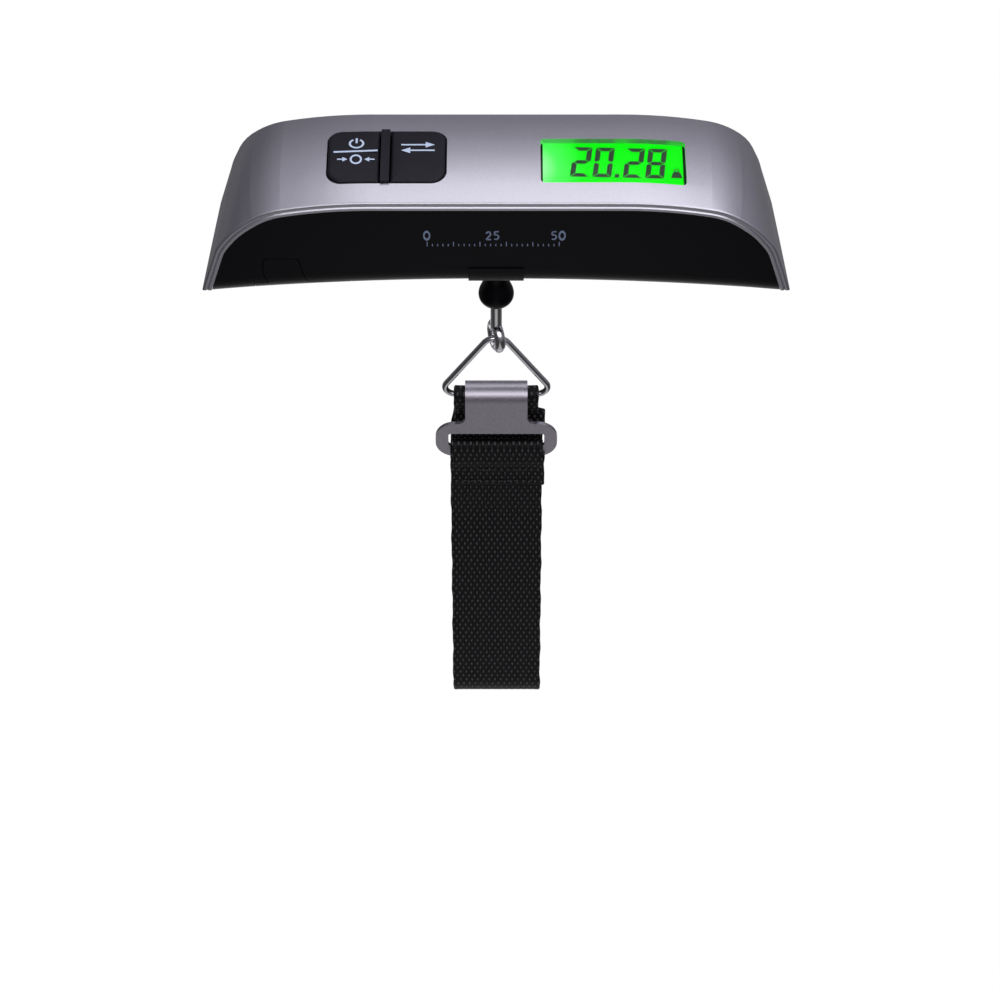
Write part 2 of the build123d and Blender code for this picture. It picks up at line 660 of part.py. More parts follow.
def key_mat():
    mat = rounded_block(KEYS_X, KEYS_Y, KEYS_LONG + 4, KEYS_WIDE + 1.4, 3.0, BOARD_TOP, BOARD_TOP + MAT_THICK)
    rib = box_between(RIB_X - RIB_WIDE / 2, RIB_X + RIB_WIDE / 2, KEYS_Y - KEYS_WIDE / 2 + 0.15,
                      KEYS_Y + KEYS_WIDE / 2 - 0.15, BOARD_TOP, 40)
    mat += under_crown(rib, KEY_PROUD + 0.35)
    for x in (POWER_X, UNIT_X):
        mat -= upright(x, KEYS_Y, PILL_R + 0.6, 10, BOARD_TOP + MAT_THICK + 1)
    return mat


def key_contacts():
    pads = []
    for x in (POWER_X, UNIT_X):
        for side in (-1, 1):
            half = upright(x, KEYS_Y, 2.4, BOARD_TOP, BOARD_TOP + 0.1)
            pads.append(half & box_between(x + (0.25 if side > 0 else -5), x + (5 if side > 0 else -0.25),
                                           -20, 20, 0, 40))
    return group(pads)


def display_plane(drop):
    """Plane of the tilted display glass, lowered by a distance."""
    return Plane(origin=(VIEW_X, VIEW_Y, GLASS_TOP - drop), x_dir=(1, 0, GLASS_FALL),
                 z_dir=(-GLASS_FALL, -GLASS_RISE, 1))


def under_glass(x0, x1, y0, y1):
    """Block that stands on the board and ends at the underside of the tilted glass."""
    block = box_between(VIEW_X + x0, VIEW_X + x1, VIEW_Y + y0, VIEW_Y + y1, BOARD_TOP, BOARD_TOP + 8)
    return block - display_plane(GLASS_THICK) * Pos(0, 0, 10) * Box(80, 60, 20)


def lcd_glass():
    slab = Pos(0, 1.0, -GLASS_THICK / 2) * Box(36.6, 18.0, GLASS_THICK)
    return display_plane(0) * slab


def backlight_panel():
    return under_glass(-18.0, 15.4, -7.9, 7.3)


def backlight_led():
    return box_between(VIEW_X + 15.45, VIEW_X + 17.6, VIEW_Y - 4.0, VIEW_Y + 1.6, BOARD_TOP, BOARD_TOP + 1.5)


def zebra_strip():
    return under_glass(-17.6, 17.6, 7.6, 9.6)


def lcd_frame():
    z1 = BOARD_TOP + 2.3
    outer = box_between(VIEW_X - 19.8, VIEW_X + 19.8, VIEW_Y - 9.3, VIEW_Y + 11.4, BOARD_TOP, z1)
    outer = fillet(outer.edges().filter_by(Axis.Z), 0.8)
    hole = box_between(VIEW_X - 18.5, VIEW_X + 18.5, VIEW_Y - 8.2, VIEW_Y + 10.15, BOARD_TOP - 1, z1 + 1)
    return outer - hole


def driver_chip():
    blob = upright(4.0, 0, 4.6, BOARD_TOP - BOARD_THICK - 1.5, BOARD_TOP - BOARD_THICK)
    return fillet(blob.edges().group_by(Axis.Z)[0], 1.1)


def amplifier_chip():
    z1 = BOARD_TOP - BOARD_THICK
    body = box_between(17.0, 22.0, -2.0, 2.0, z1 - 1.6, z1 - 0.1)
    for row in range(4):
        x = 17.6 + row * 1.27
        body += box_between(x - 0.2, x + 0.2, -3.0, 3.0, z1 - 0.4, z1)
    return body


def capacitors():
    z1 = BOARD_TOP - BOARD_THICK
    spots = ((-12, -5), (-12, 5), (-22, -6), (-22, 6), (12.5, 5), (12.5, -5), (42, 4), (42, -4))
    return group([box_between(x - 1.0, x + 1.0, y - 0.6, y + 0.6, z1 - 0.9, z1) for x, y in spots])


def crystal():
    z1 = BOARD_TOP - BOARD_THICK
    can = rounded_block(-7.0, 0, 4.2, 9.0, 2.0, z1 - 3.2, z1)
    return fillet(can.edges().group_by(Axis.Z)[0], 0.5)


MAKERS = {
    "top_cover": top_cover,
    "display_window": display_window,
    "lower_case": lower_case,
    "battery_door": battery_door,
    "battery_tray": battery_tray,
    "coin_cell": coin_cell,
    "contact_negative": contact_negative,
    "contact_positive": contact_positive,
    "chassis_plate": chassis_plate,
    "chassis_screws": chassis_screws,
    "load_cell": load_cell,
    "beam_spacer": beam_spacer,
    "load_cell_screws": load_cell_screws,
    "strain_gauges": strain_gauges,
    "gauge_coating": gauge_coating,
    "gauge_wires": gauge_wires,
    "battery_wire_black": lambda: battery_wire(-1),
    "battery_wire_red": lambda: battery_wire(1),
    "hook_washer": hook_washer,
    "hook_nut": hook_nut,
    "hook_rod": hook_rod,
    "neck_bush": neck_bush,
    "triangle_ring": triangle_ring,
    "buckle_plate": buckle_plate,
    "strap_front_end": strap_front_end,
    "strap_loop": strap_loop,
    "circuit_board": circuit_board,
    "board_screws": board_screws,
    "case_screws": case_screws,
    "power_key": power_key,
    "unit_key": unit_key,
    "power_pill": lambda: pill(POWER_X),
    "unit_pill": lambda: pill(UNIT_X),
    "key_mat": key_mat,
    "key_contacts": key_contacts,
    "lcd_glass": lcd_glass,
    "backlight_panel": backlight_panel,
    "backlight_led": backlight_led,
    "zebra_strip": zebra_strip,
    "lcd_frame": lcd_frame,
    "driver_chip": driver_chip,
    "amplifier_chip": amplifier_chip,
    "capacitors": capacitors,
    "crystal": crystal,
}

for node, make in MAKERS.items():
    shape = make()
    solids = shape.solids()
    export_step(Compound(children=list(solids)) if len(solids) > 1 else solids[0], "parts/" + node + ".step")
    box = shape.bounding_box()
    print(node, len(solids), round(shape.volume, 1), [round(v, 1) for v in (*box.min, *box.max)])
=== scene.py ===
import math

import bpy
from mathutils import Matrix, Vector


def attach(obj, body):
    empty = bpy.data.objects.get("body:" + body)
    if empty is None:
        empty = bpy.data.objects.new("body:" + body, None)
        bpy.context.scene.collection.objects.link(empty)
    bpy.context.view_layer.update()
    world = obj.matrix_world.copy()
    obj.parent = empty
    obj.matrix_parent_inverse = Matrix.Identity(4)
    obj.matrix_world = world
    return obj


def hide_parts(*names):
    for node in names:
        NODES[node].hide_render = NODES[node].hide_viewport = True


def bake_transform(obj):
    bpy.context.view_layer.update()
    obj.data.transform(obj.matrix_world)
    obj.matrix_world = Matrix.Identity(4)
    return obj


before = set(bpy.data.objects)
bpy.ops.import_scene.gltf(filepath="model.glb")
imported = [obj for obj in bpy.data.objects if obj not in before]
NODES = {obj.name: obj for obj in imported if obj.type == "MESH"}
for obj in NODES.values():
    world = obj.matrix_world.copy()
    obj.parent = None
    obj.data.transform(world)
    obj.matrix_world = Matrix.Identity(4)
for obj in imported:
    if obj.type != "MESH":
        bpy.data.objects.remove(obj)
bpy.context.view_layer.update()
MM = 0.001

# Measures that repeat those of the CAD source, in millimetres.
LIP_Z = 30.0
COVER_HALF = 18.5
CROWN = 2.0
CROWN_RADIUS = (COVER_HALF ** 2 + CROWN ** 2) / (2 * CROWN)
KEY_PROUD = 0.5
KEYS = dict(x=-28.5, y=-1.5, long=31.4, wide=20.7, round=4.2, rib=-28.9, rib_wide=2.3, gap=0.35)
VIEW = dict(x=30.55, y=-3.0, glass_top=28.8, fall=-0.0298, rise=0.035)
BAR_Z = -55.3
WEB_WIDE = 26.0
WEB_THICK = 1.5
WRAP_WIDE = 22.6
WRAP_MID = 1.7
FRONT_Y = -2.695
FOLD_Y = -3.45
LOOP_END_Y = 1.6
LOOP_RADIUS = 9.0
LOOP_END_Z = -167.2
SEWN_END = -86.6
SLOT_TOP = -71.9
REAR_TAPER = 3.0


# ------------------------------------------------------------------ camera
def place_camera():
    data = bpy.data.cameras.new("camera")
    data.lens = 122.4
    data.clip_end = 20
    camera = bpy.data.objects.new("camera", data)
    bpy.context.scene.collection.objects.link(camera)
    camera.location = (0.00103, -0.68717, 0.60149)
    camera.rotation_euler = (math.radians(44.5), 0, 0)
    bpy.context.scene.camera = camera


place_camera()


# ------------------------------------------------------------------ materials
def new_material(name, color, roughness, metallic=0.0, specular=0.5):
    mat = bpy.data.materials.new(name)
    mat.use_nodes = True
    shader = mat.node_tree.nodes["Principled BSDF"]
    shader.inputs["Base Color"].default_value = (*color, 1)
    shader.inputs["Roughness"].default_value = roughness
    shader.inputs["Metallic"].default_value = metallic
    shader.inputs["Specular IOR Level"].default_value = specular
    return mat


def node(mat, kind, **sockets):
    made = mat.node_tree.nodes.new(kind)
    for key, value in sockets.items():
        if key in made.inputs:
            made.inputs[key].default_value = value
        else:
            setattr(made, key, value)
    return made


def link(mat, source, out, target, into):
    mat.node_tree.links.new(source.outputs[out], target.inputs[into])


def grain(mat, scale, tint, bump, stretch=(1, 1, 1), rough=0.06, detail=3.0):
    """Fine colour, roughness and height variation from one noise in the object's own frame."""
    shader = mat.node_tree.nodes["Principled BSDF"]
    color = tuple(shader.inputs["Base Color"].default_value)[:3]
    base_rough = shader.inputs["Roughness"].default_value
    place = node(mat, "ShaderNodeTexCoord")
    mapping = node(mat, "ShaderNodeMapping")
    mapping.inputs["Scale"].default_value = stretch
    noise = node(mat, "ShaderNodeTexNoise", Scale=scale, Detail=detail)
    link(mat, place, "Object", mapping, "Vector")
    link(mat, mapping, "Vector", noise, "Vector")
    ramp = node(mat, "ShaderNodeValToRGB")
    ramp.color_ramp.elements[0].position = 0.32
    ramp.color_ramp.elements[1].position = 0.68
    ramp.color_ramp.elements[0].color = (*[c * (1 - tint) for c in color], 1)
    ramp.color_ramp.elements[1].color = (*[min(1, c * (1 + tint)) for c in color], 1)
    link(mat, noise, "Fac", ramp, "Fac")
    link(mat, ramp, "Color", shader, "Base Color")
    spread = node(mat, "ShaderNodeMapRange")
    spread.inputs["To Min"].default_value = max(0.02, base_rough - rough)
    spread.inputs["To Max"].default_value = min(1.0, base_rough + rough)
    link(mat, noise, "Fac", spread, "Value")
    link(mat, spread, "Result", shader, "Roughness")
    height = node(mat, "ShaderNodeBump", Strength=bump, Distance=0.0001)
    link(mat, noise, "Fac", height, "Height")
    link(mat, height, "Normal", shader, "Normal")
    return mat


def silver_paint():
    mat = new_material("silver_paint", (0.56, 0.545, 0.61), 0.34, metallic=0.85)
    return grain(mat, 5200, 0.10, 0.10, rough=0.05, detail=2.0)


def case_plastic():
    mat = new_material("case_plastic", (0.0024, 0.0021, 0.0038), 0.36, specular=0.16)
    return grain(mat, 3800, 0.25, 0.16, rough=0.06)


def key_rubber():
    mat = new_material("key_rubber", (0.0125, 0.012, 0.018), 0.5, specular=0.2)
    return grain(mat, 3000, 0.15, 0.12)


def chrome(name, tone):
    mat = new_material(name, tone, 0.16, metallic=1.0)
    return grain(mat, 900, 0.06, 0.05, stretch=(1, 1, 0.2), rough=0.05)


def gunmetal():
    mat = new_material("gunmetal", (0.47, 0.44, 0.50), 0.40, metallic=1.0)
    return grain(mat, 2600, 0.10, 0.16, stretch=(1, 1, 0.45), rough=0.08)


def painted_edge_highlight():
    # Brighter metal for the buckle's bevelled edges: a painted highlight.
    mat = new_material("painted_edge_highlight", (0.75, 0.73, 0.80), 0.22, metallic=1.0)
    return grain(mat, 2000, 0.06, 0.05)


def plain(name, color, roughness, metallic=0.0, scale=1500, tint=0.12, bump=0.1, stretch=(1, 1, 1)):
    mat = new_material(name, color, roughness, metallic)
    return grain(mat, scale, tint, bump, stretch=stretch)


def mark_paint():
    mat = new_material("mark_paint", (0.62, 0.74, 0.98), 0.5)
    return grain(mat, 4000, 0.08, 0.05)


def faint_paint():
    mat = new_material("faint_paint", (0.24, 0.30, 0.46), 0.5)
    return grain(mat, 5000, 0.18, 0.05)


def window_plastic():
    mat = new_material("window_plastic", (0.94, 1.0, 0.96), 0.04, specular=0.5)
    shader = mat.node_tree.nodes["Principled BSDF"]
    shader.inputs["Transmission Weight"].default_value = 1.0
    shader.inputs["IOR"].default_value = 1.12
    height = node(mat, "ShaderNodeBump", Strength=0.02, Distance=0.0001)
    noise = node(mat, "ShaderNodeTexNoise", Scale=120.0)
    link(mat, noise, "Fac", height, "Height")
    link(mat, height, "Normal", shader, "Normal")
    return mat


def lit_display():
    """Green backlit field, with a painted reflection as a paler patch at its left end."""
    mat = new_material("lit_display", (0.0, 0.12, 0.0), 0.35, specular=0.06)
    shader = mat.node_tree.nodes["Principled BSDF"]
    place = node(mat, "ShaderNodeTexCoord")
    mapping = node(mat, "ShaderNodeMapping", vector_type="POINT")
    mapping.inputs["Location"].default_value = (-0.0095, 0.0035, 0)
    link(mat, place, "Object", mapping, "Vector")
    split = node(mat, "ShaderNodeSeparateXYZ")
    link(mat, mapping, "Vector", split, "Vector")
    flat = node(mat, "ShaderNodeCombineXYZ")
    link(mat, split, "X", flat, "X")
    squeeze = node(mat, "ShaderNodeMath", operation="MULTIPLY")
    squeeze.inputs[1].default_value = 0.75
    link(mat, split, "Y", squeeze, 0)
    link(mat, squeeze, "Value", flat, "Y")
    far = node(mat, "ShaderNodeVectorMath", operation="LENGTH")
    link(mat, flat, "Vector", far, 0)
    # The paler stop near the left end is a painted reflection laid into the lit field's colour.
    ramp = node(mat, "ShaderNodeValToRGB")
    glow, field = ramp.color_ramp.elements
    glow.position = 0.10
    glow.color = (0.40, 1.0, 0.45, 1)
    field.position = 1.0
    field.color = (0.0006, 0.78, 0.0015, 1)
    middle = ramp.color_ramp.elements.new(0.5)
    middle.color = (0.07, 0.90, 0.10, 1)
    scale = node(mat, "ShaderNodeMath", operation="MULTIPLY")
    scale.inputs[1].default_value = 75.0
    link(mat, far, "Value", scale, 0)
    link(mat, scale, "Value", ramp, "Fac")
    link(mat, ramp, "Color", shader, "Emission Color")
    shader.inputs["Emission Strength"].default_value = 1.12
    return mat


def segment_ink():
    mat = new_material("segment_ink", (0.0008, 0.03, 0.001), 0.4)
    return grain(mat, 3000, 0.1, 0.02)


def webbing():
    """Plain woven nylon: rows of raised picks, every other row shifted by half a pick, with the picks painted
    lighter as a painted highlight.
    """
    mat = new_material("webbing", (0.0015, 0.0014, 0.0018), 0.6, specular=0.28)
    shader = mat.node_tree.nodes["Principled BSDF"]
    place = node(mat, "ShaderNodeTexCoord")
    wobble = node(mat, "ShaderNodeTexNoise", Scale=0.35, Detail=2.0)
    link(mat, place, "UV", wobble, "Vector")
    shift = node(mat, "ShaderNodeVectorMath", operation="MULTIPLY_ADD")
    shift.inputs[1].default_value = (0.5, 0.5, 0)
    link(mat, wobble, "Color", shift, 0)
    link(mat, place, "UV", shift, 2)
    split = node(mat, "ShaderNodeSeparateXYZ")
    link(mat, shift, "Vector", split, "Vector")
    waves = []
    for axis, pitch in (("X", 0.86), ("Y", 1.62)):
        turn = node(mat, "ShaderNodeMath", operation="MULTIPLY")
        turn.inputs[1].default_value = math.pi / pitch
        link(mat, split, axis, turn, 0)
        wave = node(mat, "ShaderNodeMath", operation="SINE")
        link(mat, turn, "Value", wave, 0)
        waves.append(wave)
    cross = node(mat, "ShaderNodeMath", operation="MULTIPLY")
    link(mat, waves[0], "Value", cross, 0)
    link(mat, waves[1], "Value", cross, 1)
    pick = node(mat, "ShaderNodeMath", operation="MAXIMUM")
    pick.inputs[1].default_value = 0.0
    link(mat, cross, "Value", pick, 0)
    threads = node(mat, "ShaderNodeTexNoise", Scale=9.0, Detail=3.0)
    link(mat, place, "UV", threads, "Vector")
    ridge = node(mat, "ShaderNodeMath", operation="ABSOLUTE")
    link(mat, waves[1], "Value", ridge, 0)
    short = node(mat, "ShaderNodeMath", operation="MULTIPLY")
    link(mat, pick, "Value", short, 0)
    link(mat, ridge, "Value", short, 1)
    painted_pick_highlight = node(mat, "ShaderNodeMath", operation="MULTIPLY")
    link(mat, short, "Value", painted_pick_highlight, 0)
    link(mat, threads, "Fac", painted_pick_highlight, 1)
    # The lighter colour on the raised picks is a painted highlight of shine on the black nylon, varied at
    # random by the thread noise.
    ramp = node(mat, "ShaderNodeValToRGB")
    low, high = ramp.color_ramp.elements
    low.position = 0.13
    low.color = (0.0006, 0.0005, 0.0008, 1)
    high.position = 0.42
    high.color = (0.105, 0.098, 0.115, 1)
    link(mat, painted_pick_highlight, "Value", ramp, "Fac")
    link(mat, ramp, "Color", shader, "Base Color")
    height = node(mat, "ShaderNodeBump", Strength=0.9, Distance=0.0004)
    link(mat, pick, "Value", height, "Height")
    link(mat, height, "Normal", shader, "Normal")
    return mat


def thread():
    mat = new_material("thread", (0.010, 0.0095, 0.012), 0.5)
    return grain(mat, 6000, 0.3, 0.3)


SILVER = silver_paint()
CASE = case_plastic()
RUBBER = key_rubber()
WEB = webbing()
THREAD = thread()
MARKS = mark_paint()
FAINT = faint_paint()
INK = segment_ink()
GUNMETAL = gunmetal()
EDGE_HIGHLIGHT = painted_edge_highlight()
CHROME = chrome("chrome_wire", (0.92, 0.91, 0.96))

NODE_MATERIALS = {
    "top_cover": SILVER,
    "lower_case": CASE,
    "battery_door": CASE,
    "display_window": window_plastic(),
    "lcd_glass": lit_display(),
    "key_mat": RUBBER,
    "power_key": RUBBER,
    "unit_key": RUBBER,
    "strap_loop": WEB,
    "strap_front_end": WEB,
    "buckle_plate": GUNMETAL,
    "triangle_ring": CHROME,
    "hook_rod": CHROME,
    "neck_bush": plain("bush", (0.30, 0.30, 0.32), 0.35, 1.0),
    "battery_tray": plain("tray", (0.02, 0.02, 0.024), 0.5),
    "coin_cell": plain("cell", (0.62, 0.62, 0.63), 0.28, 1.0, scale=700, stretch=(1, 1, 4)),
    "contact_negative": plain("leaf", (0.66, 0.64, 0.58), 0.3, 1.0),
    "contact_positive": plain("blade", (0.66, 0.64, 0.58), 0.3, 1.0),
    "chassis_plate": plain("zinc_plate", (0.45, 0.46, 0.48), 0.4, 1.0, scale=400, stretch=(0.2, 1, 1)),
    "beam_spacer": plain("zinc_block", (0.45, 0.46, 0.48), 0.4, 1.0, scale=400),
    "chassis_screws": plain("zinc_screw", (0.52, 0.52, 0.54), 0.32, 1.0),
    "load_cell": plain("anodised", (0.70, 0.71, 0.74), 0.33, 1.0, scale=900, stretch=(0.15, 1, 1)),
    "load_cell_screws": plain("black_screw", (0.05, 0.05, 0.055), 0.35, 1.0),
    "strain_gauges": plain("gauge_foil", (0.55, 0.27, 0.05), 0.4),
    "gauge_coating": plain("sealant", (0.72, 0.72, 0.70), 0.5, scale=500),
    "gauge_wires": plain("lead_white", (0.7, 0.7, 0.68), 0.4),
    "battery_wire_black": plain("lead_black", (0.012, 0.012, 0.013), 0.4),
    "battery_wire_red": plain("lead_red", (0.45, 0.02, 0.015), 0.4),
    "hook_washer": plain("washer", (0.5, 0.5, 0.52), 0.3, 1.0),
    "hook_nut": plain("nut", (0.5, 0.5, 0.52), 0.3, 1.0),
    "circuit_board": plain("solder_mask", (0.012, 0.16, 0.05), 0.3, scale=600),
    "board_screws": plain("board_screw", (0.5, 0.5, 0.52), 0.32, 1.0),
    "case_screws": plain("case_screw", (0.06, 0.06, 0.065), 0.35, 1.0),
    "power_pill": plain("carbon_pill_a", (0.012, 0.012, 0.012), 0.6),
    "unit_pill": plain("carbon_pill_b", (0.012, 0.012, 0.012), 0.6),
    "key_contacts": plain("gold_pads", (0.75, 0.50, 0.18), 0.3, 1.0),
    "backlight_panel": plain("light_guide", (0.25, 0.85, 0.30), 0.3),
    "backlight_led": plain("lamp_body", (0.6, 0.9, 0.6), 0.3),
    "zebra_strip": plain("elastomer", (0.5, 0.24, 0.3), 0.5, scale=3000, stretch=(1, 0.01, 0.01)),
    "lcd_frame": plain("frame", (0.012, 0.010, 0.018), 0.5),
    "driver_chip": plain("epoxy", (0.008, 0.008, 0.008), 0.3, scale=300),
    "amplifier_chip": plain("chip_body", (0.012, 0.012, 0.012), 0.5),
    "capacitors": plain("ceramic_chip", (0.42, 0.27, 0.15), 0.4),
    "crystal": plain("metal_can", (0.6, 0.6, 0.62), 0.25, 1.0),
}


def dress_nodes():
    for name, obj in NODES.items():
        mesh = obj.data
        mesh.materials.clear()
        mesh.materials.append(NODE_MATERIALS[name])
        for polygon in mesh.polygons:
            polygon.use_smooth = True
        mesh.set_sharp_from_angle(angle=math.radians(28))


def bright_edges():
    """Bevel all round the stamped buckle, carrying a brighter metal as a painted highlight on its edges."""
    plate = NODES["buckle_plate"]
    plate.data.materials.append(EDGE_HIGHLIGHT)
    bevel = plate.modifiers.new("edge", "BEVEL")
    bevel.width = 0.20 * MM
    bevel.segments = 2
    bevel.limit_method = "ANGLE"
    bevel.angle_limit = math.radians(40)
    bevel.material = 1
    bevel.harden_normals = False


dress_nodes()
bright_edges()


# ------------------------------------------------------------------ mesh helpers
def mesh_object(name, points, faces, mat, smooth=True, uvs=None):
    """Object from points in millimetres."""
    mesh = bpy.data.meshes.new(name)
    mesh.from_pydata([(x * MM, y * MM, z * MM) for x, y, z in points], [], faces)
    mesh.update()
    if uvs:
        layer = mesh.uv_layers.new(name="UVMap")
        for loop in mesh.loops:
            layer.data[loop.index].uv = uvs[loop.vertex_index]
    obj = bpy.data.objects.new(name, mesh)
    bpy.context.scene.collection.objects.link(obj)
    mesh.materials.append(mat)
    for polygon in mesh.polygons:
        polygon.use_smooth = smooth
    return obj


def crown_z(y, rise=0.0):
    """Height of the crowned middle of the cover at a depth, raised by a small amount."""
    radius = CROWN_RADIUS + rise
    return LIP_Z + CROWN - CROWN_RADIUS + math.sqrt(radius ** 2 - y ** 2)


def finish_piece(obj, body, slot_name, *replaced):
    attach(obj, body)
    if replaced:
        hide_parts(*replaced)
    return obj


def arc_points(cx, cy, radius, start, end, steps):
    return [(cx + radius * math.cos(math.radians(start + (end - start) * i / steps)),
             cy + radius * math.sin(math.radians(start + (end - start) * i / steps)))
            for i in range(steps + 1)]


# ------------------------------------------------------------------ shell of the grip
def ease(value, start, end):
    t = min(1.0, max(0.0, (value - start) / (end - start)))
    return t * t * (3 - 2 * t)


def end_shape(x, y, z):
    """Draw in the ends past the battery door: rounder shoulder, flat flanks, tapered rear."""
    reach = ease(abs(x), 64.0, 77.0)
    depth = (y + COVER_HALF) / (2 * COVER_HALF)
    bulge = CROWN * max(0.0, 1 - (y / COVER_HALF) ** 2) * ease(-z, -27.0, -12.0)
    shoulder = 1.1 * math.exp(-((z - 13.0) / 6.5) ** 2) * ease(abs(x), 64.0, 73.0)
    shift = shoulder + bulge * ease(abs(x), 64.0, 76.0) + REAR_TAPER * depth * reach
    return x - math.copysign(shift, x), y, z


def shaped_copy(node_name, body, slot_name):
    """Visual copy of a shell part with its ends drawn in."""
    mesh = NODES[node_name].data.copy()
    obj = bpy.data.objects.new(node_name + "_skin", mesh)
    bpy.context.scene.collection.objects.link(obj)
    obj.matrix_world = NODES[node_name].matrix_world.copy()
    inverse = obj.matrix_world.inverted()
    for vertex in mesh.vertices:
        place = (obj.matrix_world @ vertex.co) / MM
        vertex.co = inverse @ (Vector(end_shape(*place)) * MM)
    mesh.update()
    finish_piece(obj, body, slot_name, node_name)


def build_shell():
    shaped_copy("top_cover", "grip", "cover_silver")
    shaped_copy("lower_case", "grip", "case_black")
    shaped_copy("case_screws", "grip", "screw_steel")


build_shell()


# ------------------------------------------------------------------ keys
def key_outline(side, shrink, steps=10):
    """Outline of one key, counter clockwise; side -1 is the left key."""
    half_x = KEYS["long"] / 2 - KEYS["gap"] - shrink
    half_y = KEYS["wide"] / 2 - KEYS["gap"] - shrink
    radius = KEYS["round"] - KEYS["gap"] - shrink
    inner_gap = KEYS["rib_wide"] / 2 + KEYS["gap"] + shrink
    small = max(0.05, 0.5 - shrink)
    cx, cy = KEYS["x"], KEYS["y"]
    inner = KEYS["rib"] + side * inner_gap
    outer = cx + side * half_x
    points = []
    corners = [(outer - side * radius, cy + half_y - radius, radius),
               (inner + side * small, cy + half_y - small, small),
               (inner + side * small, cy - half_y + small, small),
               (outer - side * radius, cy - half_y + radius, radius)]
    starts = [0, 90, 180, 270] if side > 0 else [180, 90, 0, -90]
    sweep = 90 if side > 0 else -90
    for (x, y, r), start in zip(corners, starts):
        points += arc_points(x, y, r, start, start + sweep, steps)
    return points if side > 0 else points[::-1]


def pad_mesh(name, outline_at, z_foot, top_at, mat, rim=0.9, rings=6, inner_rings=5):
    """Soft key: straight sides, a round rim and a gently crowned top."""
    levels = [(0.0, None)]
    for i in range(rings + 1):
        angle = math.pi / 2 * i / rings
        levels.append((rim * (1 - math.cos(angle)), rim * math.sin(angle) - rim))
    points, faces, count = [], [], None
    for shrink, rise in levels:
        ring = outline_at(shrink)
        count = len(ring)
        points += [(x, y, z_foot if rise is None else top_at(y) + rise) for x, y in ring]
    base = outline_at(rim)
    cx = sum(p[0] for p in base) / len(base)
    cy = sum(p[1] for p in base) / len(base)
    for i in range(1, inner_rings + 1):
        k = 1 - i / (inner_rings + 0.6)
        points += [(cx + (x - cx) * k, cy + (y - cy) * k, top_at(cy + (y - cy) * k)) for x, y in base]
    total = len(levels) + inner_rings
    for row in range(total - 1):
        for i in range(count):
            a, b = row * count + i, row * count + (i + 1) % count
            faces.append((a, b, b + count, a + count))
    points.append((cx, cy, top_at(cy)))
    last = (total - 1) * count
    faces += [(last + i, last + (i + 1) % count, len(points) - 1) for i in range(count)]
    faces.append(tuple(reversed(range(count))))
    return mesh_object(name, points, faces, mat)


def build_keys():
    for side, name, body in ((-1, "power_key", "power_button"), (1, "unit_key", "unit_button")):
        pad = pad_mesh(name + "_pad", lambda s, side=side: key_outline(side, s), 27.0,
                       lambda y: crown_z(y, KEY_PROUD), RUBBER, rim=0.8)
        finish_piece(pad, body, "key_rubber", name)


def flat_mark(name, outlines, z_at, mat, body, slot_name, lift=0.03):
    """Thin printed mark: filled outlines laid on a surface given by z_at(x, y)."""
    points, faces = [], []
    for outline in outlines:
        base = len(points)
        count = len(outline)
        for x, y in outline:
            points.append((x, y, z_at(x, y) + lift))
        for x, y in outline:
            points.append((x, y, z_at(x, y) - 0.02))
        faces.append(tuple(base + i for i in range(count)))
        faces.append(tuple(base + count + i for i in reversed(range(count))))
        for i in range(count):
            j = (i + 1) % count
            faces.append((base + i, base + count + i, base + count + j, base + j))
    obj = mesh_object(name, points, faces, mat, smooth=False)
    return finish_piece(obj, body, slot_name)


def bar_outline(x0, y0, x1, y1, thick, pieces=1):
    """Thin bar as a chain of short quads, so that it can follow a crowned surface."""
    dx, dy = x1 - x0, y1 - y0
    length = math.hypot(dx, dy)
    nx, ny = -dy / length * thick / 2, dx / length * thick / 2
    quads = []
    for i in range(pieces):
        a, b = i / pieces, (i + 1) / pieces
        ax, ay, bx, by = x0 + dx * a, y0 + dy * a, x0 + dx * b, y0 + dy * b
        quads.append([(ax - nx, ay - ny), (bx - nx, by - ny), (bx + nx, by + ny), (ax + nx, ay + ny)])
    return quads


def arc_band(cx, cy, radius, thick, start, end, steps, squash=1.0):
    """Ring sector as short quads; squash shrinks it along y."""
    quads = []
    for i in range(steps):
        a = math.radians(start + (end - start) * i / steps)
        b = math.radians(start + (end - start) * (i + 1) / steps)
        quad = [(cx + (radius - thick / 2) * math.cos(a), cy + (radius - thick / 2) * math.sin(a) * squash),
                (cx + (radius + thick / 2) * math.cos(a), cy + (radius + thick / 2) * math.sin(a) * squash),
                (cx + (radius + thick / 2) * math.cos(b), cy + (radius + thick / 2) * math.sin(b) * squash),
                (cx + (radius - thick / 2) * math.cos(b), cy + (radius - thick / 2) * math.sin(b) * squash)]
        quads.append(quad)
    return quads


